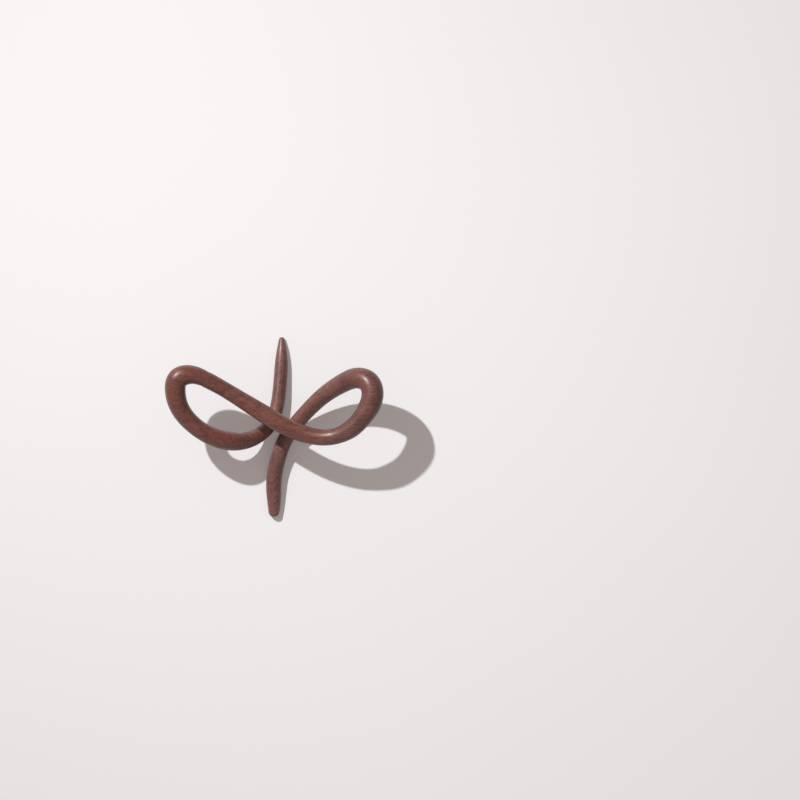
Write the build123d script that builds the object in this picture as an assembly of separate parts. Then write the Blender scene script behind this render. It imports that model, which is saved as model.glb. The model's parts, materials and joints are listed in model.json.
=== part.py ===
from build123d import *
import os

# A wall hook shaped like a bow: one tapering round rod of wood with two loops and two tails.
# The frame: +X to the right, +Z up, the wall is the plane y = 0 and the hook stands out along -Y.
# The origin lies on the wall, midway between the two fixings. All sizes are in mm.

# Overall sizes
RIGHT_SPAN = 110.7        # origin to the outside of the right bow end
LEFT_SPAN = 106.8         # origin to the outside of the left bow end
HEIGHT = 186.4            # lower tail's tip to upper tail's tip
PROJECTION = 76.0         # wall to the front of the bow ends

# Rod diameters, in order from the lower tip to the upper tip
LOWER_TIP_DIA = 11.4
LOWER_TAIL_DIA = 15.9
RISING_STRAND_DIA = 15.9
RIGHT_BOW_DIA = 22.0
RIGHT_LOWER_DIA = 18.8
RETURN_STRAND_DIA = 16.3
CROSSING_DIA = 18.0
UPPER_STRAND_DIA = 15.6
LEFT_UPPER_DIA = 16.2
LEFT_BOW_DIA = 20.8
LEFT_LOWER_DIA = 17.6
LOWER_STRAND_DIA = 19.2
NECK_DIA = 14.6
UPPER_TAIL_DIA = 13.8
UPPER_TIP_DIA = 6.2

# Fixings behind the tails
FIXING_RISE = 57.0        # height of the upper fixing above the origin; the lower one is as far below
FIXING_OFFSET = 3.6       # the upper fixing is this far right of the origin, the lower one left
FLAT_DEPTH = 2.0          # how much of each tail is cut away where it lies on the wall

# The tails beyond their fixings, in shares of the right span, the half height and the tail's diameter
LOWER_LEAN = 0.037        # left of the origin
LOWER_SHOULDER_DROP = 0.79
LOWER_SHOULDER_GIRTH = 0.82
LOWER_TIP_SEAT = 0.35     # the round tip's centre in front of the wall, in tip diameters
UPPER_LEAN = 0.043        # right of the origin
UPPER_SHOULDER_RISE = 0.80
UPPER_SHOULDER_GIRTH = 0.86
UPPER_TIP_SEAT = 0.40

# Joints of the rod: glued round dowels
DOWEL_DIA = 6.0
DOWEL_LENGTH = 20.0
DOWEL_CHAMFER = 0.8
GLUE_SPACE = 1.0          # empty length beyond each end of a dowel

# Keyhole plates, let in flush
PLATE_WIDTH = 8.0
PLATE_LENGTH = 30.0
PLATE_THICKNESS = 1.2
PLATE_DROP = 3.0          # the plate's middle below the wall screw's seat
PLATE_CLEARANCE = 0.1     # around the plate's rim in its recess
ENTRY_DROP = 7.0          # the entry hole's centre below the screw's seat
ENTRY_CLEARANCE = 0.3     # around the screw's head in the entry hole
SLOT_CLEARANCE = 0.2      # around the screw's shank in the slot
POCKET_CLEARANCE = 0.4    # around the screw's head in the pocket behind the plate
POCKET_HEADROOM = 0.6     # in front of the screw's head

# Small countersunk screws that hold each plate
PLATE_SCREW_SPACING = 23.0
PLATE_SCREW_DIA = 1.8
PLATE_SCREW_HEAD_DIA = 3.4
PLATE_SCREW_LENGTH = 7.5
DRIVE_WIDTH = 0.5         # the slot in a plate screw's head
DRIVE_DEPTH = 0.4

# Pan-head screws in the wall, and their plugs
WALL_SCREW_DIA = 3.0
WALL_SCREW_LENGTH = 30.0  # under the head
WALL_SCREW_POINT = 4.0
WALL_SCREW_HEAD_DIA = 5.4
WALL_SCREW_HEAD_HEIGHT = 1.9
WALL_SCREW_HEAD_ROUND = 0.8
CROSS_WIDTH = 0.8         # the cross recess in the head
CROSS_DEPTH = 0.9
CROSS_REACH = 0.55        # length of the recess's bars, as a share of the head's diameter
PLUG_DIA = 6.0
PLUG_LENGTH = 25.0
PLUG_COLLAR = 14.0        # length of the plug that isn't split, from the wall's face
PLUG_SLIT = 0.6

STATION_STEP = 6.0        # distance between the rod's sections along its middle line
FEWEST_SECTIONS = 4       # in one piece

RIGHT_REACH = RIGHT_SPAN - RIGHT_BOW_DIA / 2
LEFT_REACH = LEFT_SPAN - LEFT_BOW_DIA / 2
OUT_REACH = PROJECTION - RIGHT_BOW_DIA / 2
HALF_HEIGHT = HEIGHT / 2


def free(across, out, up):
    """A point of the rod clear of the wall, in shares of a bow end's reach, the reach out and the height."""
    reach = RIGHT_REACH if across > 0 else LEFT_REACH
    return Vector(across * reach, -out * OUT_REACH, up * HALF_HEIGHT)


def tail(offset, up, diameter):
    """A point of a tail whose back is cut flat on the wall."""
    return Vector(offset, -(diameter / 2 - FLAT_DEPTH), up)


# The rod's middle line, piece by piece. Each piece ends at the point where the next one starts.
LOWER_ACROSS = -LOWER_LEAN * RIGHT_REACH
UPPER_ACROSS = UPPER_LEAN * RIGHT_REACH
LOWER_TIP = Vector(LOWER_ACROSS, -LOWER_TIP_SEAT * LOWER_TIP_DIA, LOWER_TIP_DIA / 2 - HALF_HEIGHT)
UPPER_TIP = Vector(UPPER_ACROSS, -UPPER_TIP_SEAT * UPPER_TIP_DIA, HALF_HEIGHT - UPPER_TIP_DIA / 2)
LOWER_SHOULDER_UP = -LOWER_SHOULDER_DROP * HALF_HEIGHT
UPPER_SHOULDER_UP = UPPER_SHOULDER_RISE * HALF_HEIGHT
LOWER_SHOULDER = tail(LOWER_ACROSS, LOWER_SHOULDER_UP, LOWER_SHOULDER_GIRTH * LOWER_TAIL_DIA)
UPPER_SHOULDER = tail(UPPER_ACROSS, UPPER_SHOULDER_UP, UPPER_SHOULDER_GIRTH * UPPER_TAIL_DIA)
LOWER_FIXING = tail(-FIXING_OFFSET, -FIXING_RISE, LOWER_TAIL_DIA)
UPPER_FIXING = tail(FIXING_OFFSET, FIXING_RISE, UPPER_TAIL_DIA)
RISING_STRAND = free(0.275, 0.291, 0.126)
RIGHT_UPPER_JOINT = free(0.720, 0.686, 0.497)
RIGHT_END = free(1.000, 0.999, 0.352)
RIGHT_LOWER = free(0.819, 0.941, 0.024)
RIGHT_LOWER_JOINT = free(0.605, 0.855, -0.092)
CROSSING = free(-0.029, 0.800, 0.108)
UPPER_STRAND = free(-0.507, 0.830, 0.415)
LEFT_UPPER_JOINT = free(-0.688, 0.891, 0.519)
LEFT_TURN = free(-0.970, 0.992, 0.527)
LEFT_END = free(-1.000, 0.969, 0.395)
LEFT_LOWER_JOINT = free(-0.797, 0.800, 0.006)
LOWER_STRAND = free(-0.534, 0.653, -0.132)
NECK_JOINT = free(-0.167, 0.269, -0.073)
NECK = free(-0.099, 0.187, -0.006)

PIECES = {
    "lower_tail": [
        LOWER_TIP,
        LOWER_SHOULDER,
        LOWER_FIXING,
        free(-0.010, 0.101, -0.429),
        free(0.087, 0.165, -0.133),
        RISING_STRAND,
        free(0.488, 0.468, 0.344),
        RIGHT_UPPER_JOINT,
    ],
    "right_bow_end": [
        RIGHT_UPPER_JOINT,
        free(0.859, 0.860, 0.536),
        free(0.969, 0.972, 0.481),
        RIGHT_END,
        free(0.941, 0.987, 0.183),
        RIGHT_LOWER,
        RIGHT_LOWER_JOINT,
    ],
    "front_strand": [
        RIGHT_LOWER_JOINT,
        free(0.362, 0.803, -0.081),
        CROSSING,
        UPPER_STRAND,
        LEFT_UPPER_JOINT,
    ],
    "left_bow_end": [
        LEFT_UPPER_JOINT,
        free(-0.856, 0.964, 0.571),
        LEFT_TURN,
        LEFT_END,
        free(-0.962, 0.894, 0.215),
        LEFT_LOWER_JOINT,
    ],
    "lower_strand": [
        LEFT_LOWER_JOINT,
        LOWER_STRAND,
        free(-0.262, 0.385, -0.127),
        NECK_JOINT,
    ],
    "upper_tail": [
        NECK_JOINT,
        NECK,
        free(-0.021, 0.130, 0.152),
        free(0.022, 0.103, 0.408),
        UPPER_FIXING,
        UPPER_SHOULDER,
        UPPER_TIP,
    ],
}

# Diameters at points of the middle line. They blend smoothly between these points, and faster at
# the two tips, which end blunt.
GIRTHS = [
    (LOWER_TIP, LOWER_TIP_DIA),
    (LOWER_FIXING, LOWER_TAIL_DIA),
    (RISING_STRAND, RISING_STRAND_DIA),
    (RIGHT_END, RIGHT_BOW_DIA),
    (RIGHT_LOWER, RIGHT_LOWER_DIA),
    (RIGHT_LOWER_JOINT, RETURN_STRAND_DIA),
    (CROSSING, CROSSING_DIA),
    (UPPER_STRAND, UPPER_STRAND_DIA),
    (LEFT_UPPER_JOINT, LEFT_UPPER_DIA),
    (LEFT_TURN, LEFT_BOW_DIA),
    (LEFT_LOWER_JOINT, LEFT_LOWER_DIA),
    (LOWER_STRAND, LOWER_STRAND_DIA),
    (NECK, NECK_DIA),
    (UPPER_FIXING, UPPER_TAIL_DIA),
    (UPPER_TIP, UPPER_TIP_DIA),
]


def whole_middle_line():
    points = []
    for piece in PIECES.values():
        for point in piece:
            if not points or (point - points[-1]).length > 1e-6:
                points.append(point)
    return Spline(*points)


MIDDLE_LINE = whole_middle_line()
GIRTH_PLACES = [(MIDDLE_LINE.param_at_point(point), diameter) for point, diameter in GIRTHS]


def diameter_at(place):
    """The rod's diameter at a place from 0 to 1 along the middle line."""
    for (start, first), (end, last) in zip(GIRTH_PLACES, GIRTH_PLACES[1:]):
        if place <= end:
            break
    share = min(1.0, max(0.0, (place - start) / (end - start)))
    if start == GIRTH_PLACES[0][0]:
        blend = 1 - (1 - share) ** 2
    elif end == GIRTH_PLACES[-1][0]:
        blend = share ** 2
    else:
        blend = share * share * (3 - 2 * share)
    return first + (last - first) * blend


def sections(start, end):
    """Round sections from one place to another, each turned as little as possible from the last."""
    count = max(FEWEST_SECTIONS, round((end - start) * MIDDLE_LINE.length / STATION_STEP))
    faces = []
    across = None
    for index in range(count + 1):
        place = start + (end - start) * index / count
        along = MIDDLE_LINE.tangent_at(place)
        if across is None:
            across = along.cross(Vector(0, 1, 0))
        across = (across - along * across.dot(along)).normalized()
        plane = Plane(origin=MIDDLE_LINE.position_at(place), x_dir=across, z_dir=along)
        faces.append(plane * Circle(diameter_at(place) / 2))
    return faces


def rod(points):
    """One length of the rod, from its first point to its last."""
    start = MIDDLE_LINE.param_at_point(points[0])
    end = MIDDLE_LINE.param_at_point(points[-1])
    return loft(sections(start, end))


def cut_flat(solid):
    """Remove what would lie inside the wall."""
    box = Box(2 * RIGHT_SPAN, PROJECTION, 2 * HEIGHT, align=(Align.CENTER, Align.MIN, Align.CENTER))
    return solid - box


def joint_plane(point):
    return Plane(origin=point, z_dir=MIDDLE_LINE.tangent_at(MIDDLE_LINE.param_at_point(point)))


def dowel(point):
    blank = Cylinder(DOWEL_DIA / 2, DOWEL_LENGTH)
    return joint_plane(point) * chamfer(blank.edges(), DOWEL_CHAMFER)


def dowel_hole(point):
    return joint_plane(point) * Cylinder(DOWEL_DIA / 2, DOWEL_LENGTH + 2 * GLUE_SPACE)


def fixing_plane(point):
    """On the wall at a fixing: local Y runs up the tail and local Z comes out of the wall."""
    along = MIDDLE_LINE.tangent_at(MIDDLE_LINE.param_at_point(point))
    across = Vector(along.Z, 0, -along.X).normalized()
    return Plane(origin=(point.X, 0, point.Z), x_dir=across, z_dir=(0, -1, 0))


def lengthened_hole(radius, bottom, top, depth):
    """A cutter with round ends, from a lower centre to an upper one, rising from local z = 0."""
    middle = (bottom + top) / 2
    outline = Pos(0, middle) * SlotCenterToCenter(top - bottom, 2 * radius, rotation=90)
    return extrude(outline, depth)


def plate_screw_places():
    return [Pos(0, -PLATE_DROP + side * PLATE_SCREW_SPACING / 2) for side in (-1, 1)]


def plate_screw_body():
    """A countersunk screw without its drive slot, its head flush with local z = 0."""
    head_height = (PLATE_SCREW_HEAD_DIA - PLATE_SCREW_DIA) / 2
    outline = Polyline(
        (0, 0),
        (PLATE_SCREW_HEAD_DIA / 2, 0),
        (PLATE_SCREW_DIA / 2, head_height),
        (PLATE_SCREW_DIA / 2, PLATE_SCREW_LENGTH - PLATE_SCREW_DIA),
        (0, PLATE_SCREW_LENGTH),
        close=True,
    )
    return revolve(Plane.XZ * make_face(outline), Axis.Z)


def plate_screws(fixing):
    slot = Box(PLATE_SCREW_HEAD_DIA, DRIVE_WIDTH, 2 * DRIVE_DEPTH)
    screw = plate_screw_body() - slot
    return Compound([(fixing * place * screw).solid() for place in plate_screw_places()])


def plate_blank(margin):
    """The plate's outline with round ends, grown by a margin."""
    length = PLATE_LENGTH - PLATE_WIDTH
    bottom = -PLATE_DROP - length / 2
    return lengthened_hole(PLATE_WIDTH / 2 + margin, bottom, bottom + length, PLATE_THICKNESS)


def keyhole_plate(fixing):
    entry = Pos(0, -ENTRY_DROP) * Cylinder(WALL_SCREW_HEAD_DIA / 2 + ENTRY_CLEARANCE, 4 * PLATE_THICKNESS)
    slot = lengthened_hole(WALL_SCREW_DIA / 2 + SLOT_CLEARANCE, -ENTRY_DROP, 0, PLATE_THICKNESS)
    plate = plate_blank(0) - entry - slot
    for place in plate_screw_places():
        plate -= place * plate_screw_body()
    return fixing * plate


def plate_recess(fixing):
    """What a tail loses for its plate, the plate's screws and the head of the wall screw."""
    radius = WALL_SCREW_HEAD_DIA / 2 + POCKET_CLEARANCE
    depth = PLATE_THICKNESS + WALL_SCREW_HEAD_HEIGHT + POCKET_HEADROOM
    recess = plate_blank(PLATE_CLEARANCE) + lengthened_hole(radius, -ENTRY_DROP, 0, depth)
    for place in plate_screw_places():
        recess += place * plate_screw_body()
    return fixing * recess


def wall_screw(fixing):
    under_head = PLATE_THICKNESS
    end = under_head - WALL_SCREW_LENGTH
    head = Pos(0, 0, under_head) * Cylinder(
        WALL_SCREW_HEAD_DIA / 2,
        WALL_SCREW_HEAD_HEIGHT,
        align=(Align.CENTER, Align.CENTER, Align.MIN),
    )
    head = fillet(head.edges().sort_by(Axis.Z)[-1], WALL_SCREW_HEAD_ROUND)
    top = under_head + WALL_SCREW_HEAD_HEIGHT
    bar = Box(CROSS_REACH * WALL_SCREW_HEAD_DIA, CROSS_WIDTH, 2 * CROSS_DEPTH)
    shank_outline = Polyline(
        (0, end),
        (WALL_SCREW_DIA / 2, end + WALL_SCREW_POINT),
        (WALL_SCREW_DIA / 2, under_head),
        (0, under_head),
        close=True,
    )
    shank = revolve(Plane.XZ * make_face(shank_outline), Axis.Z)
    screw = shank + head - Pos(0, 0, top) * bar - Pos(0, 0, top) * Rot(0, 0, 90) * bar
    return fixing * screw


def wall_plug(fixing):
    to_wall = (Align.CENTER, Align.CENTER, Align.MAX)
    plug = Cylinder(PLUG_DIA / 2, PLUG_LENGTH, align=to_wall)
    plug -= Cylinder(WALL_SCREW_DIA / 2, PLUG_LENGTH, align=to_wall)
    slit = Pos(0, 0, -PLUG_COLLAR) * Box(PLUG_DIA, PLUG_SLIT, PLUG_LENGTH, align=to_wall)
    return fixing * (plug - slit)


def build_nodes():
    joints = {
        "right_upper": RIGHT_UPPER_JOINT,
        "right_lower": RIGHT_LOWER_JOINT,
        "left_upper": LEFT_UPPER_JOINT,
        "left_lower": LEFT_LOWER_JOINT,
        "neck": NECK_JOINT,
    }
    lower = fixing_plane(LOWER_FIXING)
    upper = fixing_plane(UPPER_FIXING)

    nodes = {name: rod(points) for name, points in PIECES.items()}
    nodes["lower_tail"] += Pos(LOWER_TIP) * Sphere(LOWER_TIP_DIA / 2)
    nodes["upper_tail"] += Pos(UPPER_TIP) * Sphere(UPPER_TIP_DIA / 2)
    nodes["lower_tail"] = cut_flat(nodes["lower_tail"]) - plate_recess(lower)
    nodes["upper_tail"] = cut_flat(nodes["upper_tail"]) - plate_recess(upper)
    for name, points in PIECES.items():
        for joint in joints.values():
            if joint in (points[0], points[-1]):
                nodes[name] -= dowel_hole(joint)

    for name, joint in joints.items():
        nodes["dowel_" + name] = dowel(joint)
    for name, fixing in (("lower", lower), ("upper", upper)):
        nodes["keyhole_plate_" + name] = keyhole_plate(fixing)
        nodes["plate_screws_" + name] = plate_screws(fixing)
        nodes["wall_screw_" + name] = wall_screw(fixing)
        nodes["wall_plug_" + name] = wall_plug(fixing)
    return nodes


os.makedirs("parts", exist_ok=True)
for node_name, shape in build_nodes().items():
    export_step(shape, f"parts/{node_name}.step")
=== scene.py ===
import json
import math

import bpy
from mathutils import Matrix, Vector


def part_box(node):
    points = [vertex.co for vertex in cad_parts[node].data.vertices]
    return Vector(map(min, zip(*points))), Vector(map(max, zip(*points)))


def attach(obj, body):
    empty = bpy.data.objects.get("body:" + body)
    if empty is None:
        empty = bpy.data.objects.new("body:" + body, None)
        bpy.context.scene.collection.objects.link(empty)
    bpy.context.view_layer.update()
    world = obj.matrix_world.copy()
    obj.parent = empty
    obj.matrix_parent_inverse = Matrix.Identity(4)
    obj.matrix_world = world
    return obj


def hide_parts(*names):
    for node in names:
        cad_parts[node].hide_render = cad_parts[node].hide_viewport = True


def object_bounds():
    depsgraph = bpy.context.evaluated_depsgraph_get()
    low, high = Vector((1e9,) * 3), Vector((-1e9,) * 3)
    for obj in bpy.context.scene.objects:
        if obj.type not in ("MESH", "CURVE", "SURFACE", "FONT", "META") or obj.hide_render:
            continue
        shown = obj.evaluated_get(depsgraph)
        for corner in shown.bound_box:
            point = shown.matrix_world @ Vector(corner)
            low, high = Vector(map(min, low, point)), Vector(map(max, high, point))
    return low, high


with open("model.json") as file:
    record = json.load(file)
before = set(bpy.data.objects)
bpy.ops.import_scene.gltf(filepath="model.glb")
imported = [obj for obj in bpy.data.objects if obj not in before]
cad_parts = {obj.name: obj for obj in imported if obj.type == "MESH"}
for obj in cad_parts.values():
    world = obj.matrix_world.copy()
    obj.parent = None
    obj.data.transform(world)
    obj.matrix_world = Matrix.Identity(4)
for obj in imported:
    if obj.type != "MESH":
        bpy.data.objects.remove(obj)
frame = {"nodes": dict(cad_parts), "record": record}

# A bow-shaped wooden wall hook: materials for its CAD nodes, threads for its wall screws, and a studio.
# The frame: metres, the wall is the plane y = 0, the hook stands out along -Y, +Z is up.
# The places of the camera and the lamp are measured from the middle of the hook's back.

CAD_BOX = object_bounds()
MM = 0.001
BODY = "root"

# Camera: square to the wall, to the right of the hook's middle and a little above it
CAMERA_DISTANCE = 1.446
CAMERA_RIGHT = 0.127
CAMERA_UP = 0.028
CAMERA_LENS_MM = 62.6
CAMERA_SENSOR_MM = 36.0
CAMERA_CLIP = 0.01

# Key lamp, up and to the left in front of the wall, aimed past the hook so that the wall is lit evenly
KEY_PLACE = (-0.540, -0.920, 0.710)
KEY_TARGET = (0.500, 0.0, -0.350)
KEY_WATTS = 16.6
KEY_SIZE = 0.034
KEY_TINT = (0.955, 0.980, 1.0)

# The wall behind the hook, and the floor below it
WALL_GAP = 0.0002         # between the wall's face and the tails' flat backs
WALL_WIDTH = 6.0
WALL_PAINT = (0.811, 0.800, 0.794)
# painted bounce light: the wall's own glow stands in for light that the pale room gives back to it
WALL_PAINTED_BOUNCE = 0.134         # what the pale room gives back to the wall, beyond the even light
WALL_PAINTED_BOUNCE_TINT = (1.0, 0.90, 0.87)
FLOOR_DROP = 0.75         # below the hook's lowest point
FLOOR_SIZE = 8.0
FLOOR_PAINT = (0.80, 0.79, 0.78)
ROLLER_SPECKS = 420.0     # per metre, from the paint roller
ROLLER_BUMP = 0.10
PAINT_CLOUDS = 1.4        # per metre, slow changes of tone
PAINT_CLOUD_TONE = 0.985

# Even light from the room in front of the wall, fading into a dimmer light behind it.
# The places run from 0, straight in front, through 0.5, sideways, to 1, straight behind.
ROOM_TINT = (0.270, 0.240, 0.232)
ROOM_ENDS = 0.45
BEHIND_TINT = (0.130, 0.114, 0.110)
BEHIND_STARTS = 0.60


def mount_place(name):
    """A mount's place in the frame."""
    for mount in frame["record"]["mounts"]:
        if mount["name"] == name:
            return Vector(mount["pos_m"])
    raise ValueError(name)


CENTRE = mount_place("wall_centre")


class Graph:
    """A short way to write a material's nodes."""

    def __init__(self, name):
        self.material = bpy.data.materials.new(name)
        self.material.use_nodes = True
        self.tree = self.material.node_tree
        self.tree.nodes.clear()

    def add(self, kind, settings=None, order=(), **inputs):
        """A node with its settings, its first inputs in order, and its other inputs by name."""
        node = self.tree.nodes.new(kind)
        for key, value in (settings or {}).items():
            setattr(node, key, value)
        for index, value in enumerate(order):
            self.feed(node, index, value)
        for key, value in inputs.items():
            self.feed(node, key.replace("_", " "), value)
        return node

    def feed(self, node, key, value):
        socket = node.inputs[key]
        if isinstance(value, bpy.types.NodeSocket):
            self.tree.links.new(value, socket)
        else:
            socket.default_value = value

    def math(self, operation, first, second=0.0):
        return self.add("ShaderNodeMath", {"operation": operation}, (first, second)).outputs[0]

    def total(self, start, *terms):
        """A start with each (value, share) term added to it."""
        whole = start
        for value, share in terms:
            whole = self.math("ADD", whole, self.math("MULTIPLY", value, share))
        return whole

    def vector(self, operation, first, second=(0.0, 0.0, 0.0)):
        node = self.add("ShaderNodeVectorMath", {"operation": operation}, (first, second))
        return node.outputs["Value" if operation == "LENGTH" else "Vector"]

    def noise(self, place, stretch, detail=2.0, roughness=0.5, colour=False):
        """Noise with so many grains per unit along each axis."""
        where = self.vector("MULTIPLY", place, stretch)
        node = self.add("ShaderNodeTexNoise", Vector=where, Scale=1.0, Detail=detail, Roughness=roughness)
        return node.outputs["Color" if colour else "Fac"]

    def patches(self, place, stretch, low, high, detail=2.0, roughness=0.5):
        """Noise spread out so that it runs from 0 at low to 1 at high."""
        return self.ramp(self.noise(place, stretch, detail, roughness), [(low, 0.0), (high, 1.0)])

    def ramp(self, value, stops):
        """A smooth ramp through (place, colour) stops, where a colour may be one number."""
        node = self.add("ShaderNodeValToRGB", Fac=value)
        ramp = node.color_ramp
        ramp.interpolation = "EASE"
        while len(ramp.elements) < len(stops):
            ramp.elements.new(0.5)
        for element, (place, colour) in zip(ramp.elements, stops):
            element.position = place
            tone = (colour,) * 3 if isinstance(colour, float) else tuple(colour)
            element.color = tone + (1.0,)
        return node.outputs["Color"]

    def mix(self, share, first, second):
        """The first colour, with a share (a socket) of the second colour (three numbers)."""
        node = self.add("ShaderNodeMix", {"data_type": "RGBA"})
        named = {socket.identifier: socket for socket in node.inputs}
        self.tree.links.new(share, named["Factor_Float"])
        self.tree.links.new(first, named["A_Color"])
        named["B_Color"].default_value = tuple(second) + (1.0,)
        return next(socket for socket in node.outputs if socket.identifier == "Result_Color")

    def bump(self, height, strength, distance):
        node = self.add("ShaderNodeBump", Height=height, Strength=strength, Distance=distance)
        return node.outputs["Normal"]

    def finish(self, colour, roughness, normal, **constants):
        shader = self.add("ShaderNodeBsdfPrincipled")
        self.feed(shader, "Base Color", colour)
        self.feed(shader, "Roughness", roughness)
        self.feed(shader, "Normal", normal)
        for key, value in constants.items():
            self.feed(shader, key.replace("_", " "), value)
        output = self.add("ShaderNodeOutputMaterial")
        self.tree.links.new(shader.outputs["BSDF"], output.inputs["Surface"])
        return self.material


def grain_places(graph, slope=0.0, tilt=0.0, roll=0.0, shift=(0.0, 0.0, 0.0)):
    """Object coordinates in mm, turned so that X runs along the grain."""
    where = graph.add("ShaderNodeTexCoord").outputs["Object"]
    turn = (math.radians(roll), math.radians(slope), math.radians(tilt))
    size = (1 / MM, 1 / MM, 1 / MM)
    node = graph.add("ShaderNodeMapping", Vector=where, Location=shift, Rotation=turn, Scale=size)
    return node.outputs["Vector"]


EDGE_STARTS = 0.515       # pointiness of an edge that starts to show wear
EDGE_ENDS = 0.56          # pointiness of a fully worn edge


def worn_edges(graph):
    """1 on sharp outer edges, 0 elsewhere."""
    geometry = graph.add("ShaderNodeNewGeometry")
    return graph.ramp(geometry.outputs["Pointiness"], [(EDGE_STARTS, 0.0), (EDGE_ENDS, 1.0)])


# Wood tones, as linear colours: light, middle and dark wood, and how dark the figure is at each
ORANGE_FLECK = (0.300, 0.105, 0.058)
RED_WOOD = ((0.240, 0.095, 0.074), (0.155, 0.058, 0.043), (0.070, 0.025, 0.018))
PALE_WOOD = ((0.290, 0.122, 0.100), (0.190, 0.076, 0.060), (0.090, 0.034, 0.026))
BROWN_WOOD = ((0.265, 0.088, 0.064), (0.170, 0.055, 0.039), (0.075, 0.024, 0.016))
TONE_PLACES = (0.12, 0.46, 0.84)

# The wood's figure, layer by layer. A stretch is the number of noise grains in a mm, along and across the
# wood's grain. A layer runs from nothing where the noise is low to its full strength where it is high.
SWAY = dict(stretch=(0.010, 0.030, 0.030), colour=True)
STREAKS = dict(stretch=(0.016, 0.75, 0.75), low=0.32, high=0.68, detail=3.0, roughness=0.55)
THREADS = dict(stretch=(0.030, 2.2, 2.2), low=0.33, high=0.70, detail=3.0, roughness=0.60)
FIBRES = dict(stretch=(0.15, 7.0, 7.0), roughness=0.65)
PATCHES = dict(stretch=(0.012, 0.06, 0.06), low=0.32, high=0.68)
PORES = dict(stretch=(0.30, 3.4, 3.4), low=0.60, high=0.70, detail=1.0)
FLECKS = dict(stretch=(0.40, 1.4, 5.0), low=0.62, high=0.74, detail=1.0)
RING_WAVES = dict(stretch=(0.03, 0.35, 0.35), detail=3.0, roughness=0.6)
RUBBED_CLOUDS = dict(stretch=(0.08, 0.08, 0.08), low=0.4, high=0.6, detail=3.0, roughness=0.6)

# How strongly each layer shows in the colour
SWAY_REACH = 12.0         # how far the grain wanders sideways, in mm
RING_WAVE_REACH = 1.4     # how far the rings wander, in rings
STREAK_SHARE = 0.34
THREAD_SHARE = 0.24
PATCH_SHARE = 0.20
FIBRE_SHARE = 0.30
PORE_SHARE = 0.36
FLECK_SHARE = 0.26
RUBBED_SHARE = 0.16
PORE_TONE = 0.45          # of the dark wood
RUBBED_TONE = 1.25        # of the light wood

# Growth rings lie round a pith outside the piece. A year runs from early wood to late wood.
PITH = (0.0, 31.0, 24.0)  # from the pith to the grain's origin, in mm
YEAR = [(0.0, 0.15), (0.50, 0.30), (0.84, 1.0), (1.0, 0.15)]

# The wood's finish: its roughness, what each layer adds to it, and what each layer adds to the relief
SATIN_ROUGHNESS = 0.40
FIBRE_ROUGHNESS = 0.12
PORE_ROUGHNESS = 0.15
RUBBED_ROUGHNESS = -0.06
FIBRE_RELIEF = 0.35
PORE_RELIEF = -1.0
THREAD_RELIEF = 0.25
WOOD_BUMP = 0.30
FINE_RELIEF = 0.05 * MM   # the height that a relief of 1 stands for
OIL = dict(Coat_Weight=0.50, Coat_Roughness=0.36, Specular_IOR_Level=0.35)

# Where coats rub the finish, as shares of the way from the wall to the hook's front
RUBBING = [(0.35, 0.0), (0.95, 1.0)]


def stained_wood(name, tones, slope, tilt, roll, shift, ring=4.5, figure=0.20):
    """Satin reddish-brown hardwood. Its rings lie so many mm apart, and the figure says how they show."""
    light = tones[0]
    dark = tones[-1]
    g = Graph(name)
    place = grain_places(g, slope, tilt, roll, shift)
    bent = swayed(g, place)
    threads = g.patches(bent, **THREADS)
    fibres = g.noise(bent, **FIBRES)
    pores = g.patches(bent, **PORES)
    rubbed = handled(g, place)

    shade = g.total(
        0.0,
        (growth_rings(g, bent, ring), figure),
        (g.patches(bent, **STREAKS), STREAK_SHARE),
        (threads, THREAD_SHARE),
        (g.patches(place, **PATCHES), PATCH_SHARE),
        (g.math("SUBTRACT", fibres, 0.5), FIBRE_SHARE),
    )
    colour = g.ramp(shade, list(zip(TONE_PLACES, tones)))
    colour = g.mix(g.math("MULTIPLY", pores, PORE_SHARE), colour, [c * PORE_TONE for c in dark])
    colour = g.mix(g.math("MULTIPLY", g.patches(bent, **FLECKS), FLECK_SHARE), colour, ORANGE_FLECK)
    colour = g.mix(g.math("MULTIPLY", rubbed, RUBBED_SHARE), colour, [c * RUBBED_TONE for c in light])

    dullness = ((fibres, FIBRE_ROUGHNESS), (pores, PORE_ROUGHNESS), (rubbed, RUBBED_ROUGHNESS))
    roughness = g.total(SATIN_ROUGHNESS, *dullness)
    relief = g.total(0.0, (fibres, FIBRE_RELIEF), (pores, PORE_RELIEF), (threads, THREAD_RELIEF))
    return g.finish(colour, roughness, g.bump(relief, WOOD_BUMP, FINE_RELIEF), **OIL)


def swayed(graph, place):
    """Places along a grain that wanders slowly sideways."""
    slow = graph.vector("SUBTRACT", graph.noise(place, **SWAY), (0.5, 0.5, 0.5))
    sway = graph.vector("MULTIPLY", slow, (0.0, SWAY_REACH, SWAY_REACH))
    return graph.vector("ADD", place, sway)


def growth_rings(graph, place, ring):
    """0 in early wood, rising to 1 in late wood, in slightly wavy rings round the pith."""
    from_pith = graph.vector("MULTIPLY", graph.vector("ADD", place, PITH), (0.0, 1.0, 1.0))
    years = graph.math("DIVIDE", graph.vector("LENGTH", from_pith), ring)
    waves = graph.noise(place, **RING_WAVES)
    return graph.ramp(graph.math("FRACT", graph.total(years, (waves, RING_WAVE_REACH))), YEAR)


def handled(graph, place):
    """Cloudy patches where the finish is rubbed, strongest at the front where coats hang."""
    where = graph.add("ShaderNodeTexCoord").outputs["Object"]
    out = graph.add("ShaderNodeSeparateXYZ", Vector=where).outputs["Y"]
    front = graph.ramp(graph.math("DIVIDE", out, CAD_BOX[0].y), RUBBING)
    return graph.math("MULTIPLY", front, graph.patches(place, **RUBBED_CLOUDS))


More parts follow.
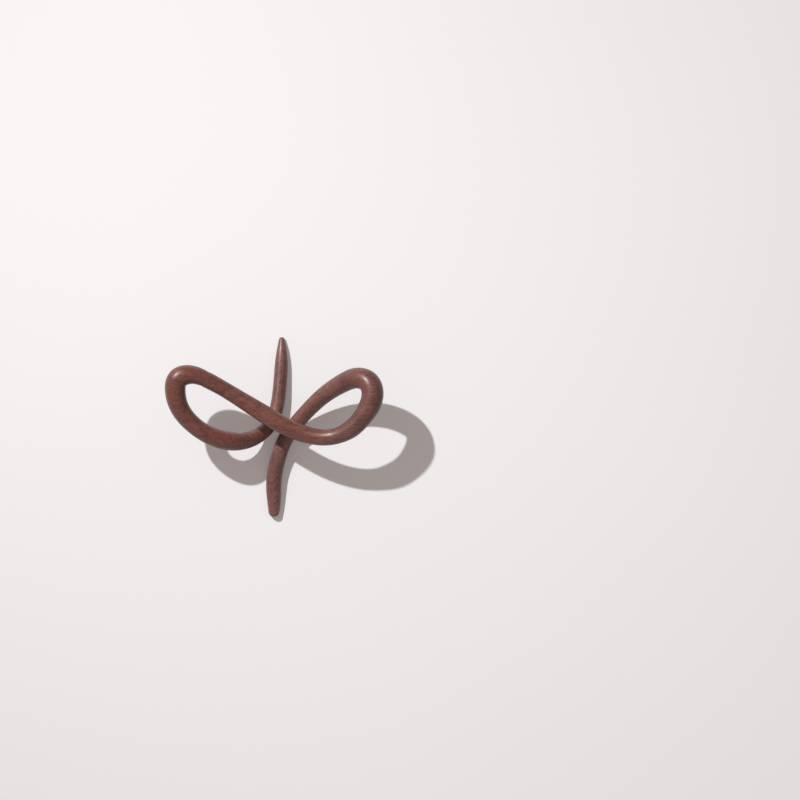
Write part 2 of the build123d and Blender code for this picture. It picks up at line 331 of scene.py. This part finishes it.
# Beech, metal and nylon: their noise layers and their tones, as linear colours
BEECH_FIBRES = dict(stretch=(0.15, 3.0, 3.0), detail=3.0, roughness=0.6)
BEECH_FLECKS = dict(stretch=(0.9, 5.0, 2.2), low=0.60, high=0.70, detail=1.0)
BEECH_TONES = [(0.30, (0.66, 0.47, 0.29)), (0.70, (0.50, 0.33, 0.19))]
BEECH_FLECK_TONE = (0.30, 0.17, 0.09)
METAL_LINES = dict(stretch=(0.4, 9.0, 9.0), detail=3.0, roughness=0.6)
METAL_CLOUDS = dict(stretch=(0.35, 0.35, 0.35), detail=3.0, roughness=0.6)
METAL_RELIEF = 0.02 * MM
ZINC = dict(bright=(0.66, 0.66, 0.65), dull=(0.46, 0.47, 0.48), roughness=0.26)
BRASS = dict(bright=(0.74, 0.56, 0.30), dull=(0.52, 0.37, 0.18), roughness=0.30)
NYLON_SKIN = dict(stretch=(6.0, 6.0, 6.0), detail=3.0, roughness=0.6)
NYLON_CLOUDS = dict(stretch=(0.3, 0.3, 0.3))
NYLON_TONES = [(0.30, (0.47, 0.47, 0.46)), (0.70, (0.38, 0.38, 0.37))]
NYLON_WORN_TONE = (0.62, 0.62, 0.60)
RIB_SPACING = 2.4         # in mm
RIB = [(0.0, 0.0), (0.6, 1.0), (1.0, 0.0)]
RIB_RELIEF = 0.30 * MM


def beech(name):
    """Plain pale beech with short dark flecks."""
    g = Graph(name)
    place = grain_places(g, slope=20.0)
    fibres = g.noise(place, **BEECH_FIBRES)
    flecks = g.patches(place, **BEECH_FLECKS)
    colour = g.mix(g.math("MULTIPLY", flecks, 0.6), g.ramp(fibres, BEECH_TONES), BEECH_FLECK_TONE)
    normal = g.bump(g.math("SUBTRACT", fibres, flecks), 0.4, FINE_RELIEF)
    return g.finish(colour, g.total(0.55, (fibres, 0.2)), normal)


def plated_metal(name, bright, dull, roughness):
    """Plated metal: rolling lines, faint cloudy dulling, bright worn edges."""
    g = Graph(name)
    place = grain_places(g, slope=90.0)
    lines = g.noise(place, **METAL_LINES)
    shade = g.total(0.0, (g.noise(place, **METAL_CLOUDS), 0.7), (lines, 0.3))
    colour = g.ramp(shade, [(0.35, bright), (0.65, dull)])
    colour = g.mix(g.math("MULTIPLY", worn_edges(g), 0.6), colour, [min(1.0, c * 1.2) for c in bright])
    normal = g.bump(lines, 0.25, METAL_RELIEF)
    return g.finish(colour, g.total(roughness, (shade, 0.18)), normal, Metallic=1.0)


def nylon(name):
    """Grey moulded nylon with a fine matt skin and gripping ribs."""
    g = Graph(name)
    place = grain_places(g)
    skin = g.noise(place, **NYLON_SKIN)
    colour = g.ramp(g.noise(place, **NYLON_CLOUDS), NYLON_TONES)
    colour = g.mix(g.math("MULTIPLY", worn_edges(g), 0.5), colour, NYLON_WORN_TONE)
    along = g.add("ShaderNodeSeparateXYZ", Vector=place).outputs["Y"]
    ribs = g.ramp(g.math("FRACT", g.math("DIVIDE", along, RIB_SPACING)), RIB)
    normal = g.bump(g.total(ribs, (skin, 0.1)), 0.9, RIB_RELIEF)
    return g.finish(colour, g.total(0.45, (skin, 0.15)), normal, Subsurface_Weight=0.05)


def dress(node, material):
    """Put a node's material in its slot; its mesh and its shading normals stay as they are."""
    piece = frame["nodes"][node]
    piece.data.materials.clear()
    piece.data.materials.append(material)
    piece.data.polygons.foreach_set("material_index", [0] * len(piece.data.polygons))


# Wall screws: the visual model has the real thread that the CAD's plain shank stands for
SCREW_PITCH = 1.1 * MM
SCREW_THREAD_DEPTH = 0.42 * MM
SCREW_RADIUS = 1.49 * MM
SCREW_NECK = 2.0 * MM     # plain length under the head
SCREW_POINT = 5.0 * MM
SCREW_TIP = 0.04          # the tip's share of the radius
THREAD_WIDTH = 0.30       # half of the thread's foot, as a share of the pitch
THREAD_HOLLOW = 1.3       # over 1, the thread's flanks are hollow
RING_STEP = 0.11 * MM
RING_SIDES = 40
SEAT_SLACK = 0.01 * MM    # how far past its seat a face of the head may reach
CRISP_ANGLE = 40.0        # edges sharper than this, in degrees, stay crisp


def thread_radius(depth, turn, length):
    """The shank's radius at a depth below the head and a share of a turn."""
    crest = (depth / SCREW_PITCH - turn) % 1.0
    ridge = max(0.0, 1.0 - abs(crest - 0.5) / THREAD_WIDTH)
    fade = min(1.0, max(0.0, (depth - SCREW_NECK) / SCREW_PITCH))
    core = SCREW_RADIUS - SCREW_THREAD_DEPTH * fade
    taper = min(1.0, max(SCREW_TIP, (length - depth) / SCREW_POINT))
    return (core + SCREW_THREAD_DEPTH * fade * ridge ** THREAD_HOLLOW) * taper


def threaded_shank(top, length):
    """Vertices and faces of a threaded shank that runs along +Y from its top."""
    rings = round(length / RING_STEP)
    vertices = []
    for ring in range(rings + 1):
        depth = length * ring / rings
        for side in range(RING_SIDES):
            turn = side / RING_SIDES
            radius = thread_radius(depth, turn, length)
            angle = 2 * math.pi * turn
            vertices.append(top + Vector((radius * math.cos(angle), depth, radius * math.sin(angle))))
    faces = []
    for ring in range(rings):
        for side in range(RING_SIDES):
            after = (side + 1) % RING_SIDES
            low = ring * RING_SIDES
            high = low + RING_SIDES
            faces.append((low + side, low + after, high + after, high + side))
    faces.append(tuple(rings * RING_SIDES + side for side in range(RING_SIDES)))
    return vertices, faces


def screw_head(node):
    """Vertices and faces of the CAD screw's head, where its shank starts, and the shank's length."""
    low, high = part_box(node)
    plate = frame["nodes"][node.replace("wall_screw", "keyhole_plate")]
    seat = min(vertex.co.y for vertex in plate.data.vertices)
    mesh = frame["nodes"][node].data
    vertices = [vertex.co.copy() for vertex in mesh.vertices]
    faces = []
    for polygon in mesh.polygons:
        if max(vertices[index].y for index in polygon.vertices) < seat + SEAT_SLACK:
            faces.append(tuple(polygon.vertices))
    top = Vector(((low[0] + high[0]) / 2, seat, (low[2] + high[2]) / 2))
    return vertices, faces, top, high[1] - seat


def threaded_screw(node, material):
    """A wall screw with its CAD head and a threaded shank."""
    vertices, faces, top, length = screw_head(node)
    shank_vertices, shank_faces = threaded_shank(top, length)
    first = len(vertices)
    faces += [tuple(first + index for index in face) for face in shank_faces]
    mesh = bpy.data.meshes.new("threaded_" + node)
    mesh.from_pydata(vertices + shank_vertices, [], faces)
    mesh.materials.append(material)
    mesh.shade_smooth()
    screw = bpy.data.objects.new("threaded_" + node, mesh)
    bpy.context.scene.collection.objects.link(screw)
    edges = screw.modifiers.new("crisp_edges", "EDGE_SPLIT")
    edges.split_angle = math.radians(CRISP_ANGLE)
    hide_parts(node)
    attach(screw, BODY)


# Each wooden piece is sawn from its own blank: its tones, how its grain lies in degrees and mm, the space
# between its rings in mm, and how strongly they show
GRAIN = {
    "lower_tail": dict(tones=PALE_WOOD, slope=48.0, tilt=5.0, roll=20.0, shift=(0.0, 3.0, 5.0)),
    "right_bow_end": dict(
        tones=RED_WOOD, slope=2.0, tilt=4.0, roll=-35.0, shift=(40.0, 12.0, -8.0), ring=2.6, figure=0.30
    ),
    "front_strand": dict(
        tones=BROWN_WOOD, slope=-20.0, tilt=5.0, roll=65.0, shift=(-20.0, 5.0, 14.0), ring=6.0, figure=0.28
    ),
    "left_bow_end": dict(tones=BROWN_WOOD, slope=-14.0, tilt=-4.0, roll=10.0, shift=(60.0, -9.0, 3.0)),
    "lower_strand": dict(tones=BROWN_WOOD, slope=-3.0, tilt=8.0, roll=50.0, shift=(-70.0, 8.0, 20.0)),
    "upper_tail": dict(tones=PALE_WOOD, slope=86.0, tilt=3.0, roll=-15.0, shift=(15.0, -4.0, -12.0)),
}


def dress_nodes():
    """A material for every piece, and real threads for the wall screws."""
    for node, lie in GRAIN.items():
        dress(node, stained_wood("wood_" + node, **lie))
    dowel_wood = beech("dowel_beech")
    zinc = plated_metal("zinc_plate", **ZINC)
    brass = plated_metal("brass_plate", **BRASS)
    plug = nylon("grey_nylon")
    for node in sorted(frame["nodes"]):
        if node.startswith("dowel_"):
            dress(node, dowel_wood)
        elif node.startswith("keyhole_plate_"):
            dress(node, zinc)
        elif node.startswith("wall_screw_"):
            threaded_screw(node, zinc)
        elif node.startswith("plate_screws_"):
            dress(node, brass)
        elif node.startswith("wall_plug_"):
            dress(node, plug)


def painted(name, tone):
    """Matt emulsion paint with a faint roller texture."""
    g = Graph(name)
    where = g.add("ShaderNodeTexCoord").outputs["Object"]
    roller = g.noise(where, (ROLLER_SPECKS, ROLLER_SPECKS, ROLLER_SPECKS))
    clouds = g.noise(where, (PAINT_CLOUDS, PAINT_CLOUDS, PAINT_CLOUDS))
    colour = g.ramp(clouds, [(0.3, tone), (0.7, [c * PAINT_CLOUD_TONE for c in tone])])
    normal = g.bump(roller, ROLLER_BUMP, FINE_RELIEF)
    return g.finish(colour, 0.9, normal, Specular_IOR_Level=0.2)


def sheet_mesh(name, corners, material):
    """A flat four-cornered backdrop."""
    mesh = bpy.data.meshes.new(name)
    mesh.from_pydata(corners, [], [(0, 1, 2, 3)])
    mesh.materials.append(material)
    sheet = bpy.data.objects.new(name, mesh)
    bpy.context.scene.collection.objects.link(sheet)
    return sheet


def one_sided(material):
    """The backdrop shows from its front only, so that the back of the hook can be looked at too."""
    tree = material.node_tree
    output = next(n for n in tree.nodes if n.type == "OUTPUT_MATERIAL")
    front = output.inputs["Surface"].links[0].from_socket
    side = tree.nodes.new("ShaderNodeNewGeometry")
    clear = tree.nodes.new("ShaderNodeBsdfTransparent")
    choice = tree.nodes.new("ShaderNodeMixShader")
    tree.links.new(side.outputs["Backfacing"], choice.inputs[0])
    tree.links.new(front, choice.inputs[1])
    tree.links.new(clear.outputs[0], choice.inputs[2])
    tree.links.new(choice.outputs[0], output.inputs["Surface"])


def build_wall():
    """The wall behind the hook glows faintly with painted bounce light, and it neither shades the hook nor
    lights it.
    """
    low = CAD_BOX[0].z - FLOOR_DROP
    half = WALL_WIDTH / 2
    paint = painted("wall_paint", WALL_PAINT)
    corners = [(x, WALL_GAP, z) for x, z in ((-half, low), (half, low), (half, half), (-half, half))]
    wall = sheet_mesh("wall", corners, paint)
    shader = next(n for n in paint.node_tree.nodes if n.type == "BSDF_PRINCIPLED")
    # painted bounce light: the wall's paint glows, standing in for light that the room gives back to it
    shader.inputs["Emission Color"].default_value = WALL_PAINTED_BOUNCE_TINT + (1.0,)
    shader.inputs["Emission Strength"].default_value = WALL_PAINTED_BOUNCE
    one_sided(paint)
    wall.visible_diffuse = False
    wall.visible_shadow = False


def build_floor():
    """The floor shows, but it doesn't light the hook from below."""
    low = CAD_BOX[0].z - FLOOR_DROP
    half = FLOOR_SIZE / 2
    corners = [(x, y, low) for x, y in ((-half, -half), (half, -half), (half, half), (-half, half))]
    floor = sheet_mesh("floor", corners, painted("floor_paint", FLOOR_PAINT))
    floor.visible_diffuse = False


def build_room_light():
    """Soft even light from the room, dimmer from behind the wall."""
    world = bpy.data.worlds.new("studio")
    bpy.context.scene.world = world
    world.use_nodes = True
    tree = world.node_tree
    towards = tree.nodes.new("ShaderNodeTexCoord")
    split = tree.nodes.new("ShaderNodeSeparateXYZ")
    ramp = tree.nodes.new("ShaderNodeValToRGB")
    halved = tree.nodes.new("ShaderNodeMath")
    halved.operation = "MULTIPLY_ADD"
    halved.inputs[1].default_value = 0.5
    halved.inputs[2].default_value = 0.5
    tree.links.new(towards.outputs["Generated"], split.inputs[0])
    tree.links.new(split.outputs["Y"], halved.inputs[0])
    tree.links.new(halved.outputs[0], ramp.inputs["Fac"])
    stops = ((ROOM_ENDS, ROOM_TINT), (BEHIND_STARTS, BEHIND_TINT))
    for element, (place, tint) in zip(ramp.color_ramp.elements, stops):
        element.position = place
        element.color = tint + (1.0,)
    tree.links.new(ramp.outputs["Color"], tree.nodes["Background"].inputs["Color"])


def build_key_lamp():
    """A small lamp whose light doesn't fall off with distance, as from a far window."""
    lamp = bpy.data.lights.new("key", "AREA")
    lamp.shape = "DISK"
    lamp.size = KEY_SIZE
    lamp.energy = KEY_WATTS
    lamp.color = KEY_TINT
    lamp.use_nodes = True
    tree = lamp.node_tree
    falloff = tree.nodes.new("ShaderNodeLightFalloff")
    falloff.inputs["Strength"].default_value = 1 / Vector(KEY_PLACE).length_squared
    tree.links.new(falloff.outputs["Constant"], tree.nodes["Emission"].inputs["Strength"])
    aim("key", lamp, CENTRE + Vector(KEY_PLACE), CENTRE + Vector(KEY_TARGET))


def aim(name, data, place, target):
    """A lamp or a camera at a place, looking at its target."""
    thing = bpy.data.objects.new(name, data)
    bpy.context.scene.collection.objects.link(thing)
    thing.location = place
    thing.rotation_mode = "QUATERNION"
    thing.rotation_quaternion = (target - place).to_track_quat("-Z", "Y")
    return thing


def build_camera():
    """The scene's camera, looking straight at the wall."""
    data = bpy.data.cameras.new("camera")
    data.lens = CAMERA_LENS_MM
    data.sensor_width = CAMERA_SENSOR_MM
    data.clip_start = CAMERA_CLIP
    place = CENTRE + Vector((CAMERA_RIGHT, -CAMERA_DISTANCE, CAMERA_UP))
    bpy.context.scene.camera = aim("camera", data, place, place + Vector((0.0, 1.0, 0.0)))


dress_nodes()
build_wall()
build_floor()
build_room_light()
build_key_lamp()
build_camera()
bpy.context.scene.view_settings.view_transform = "Standard"
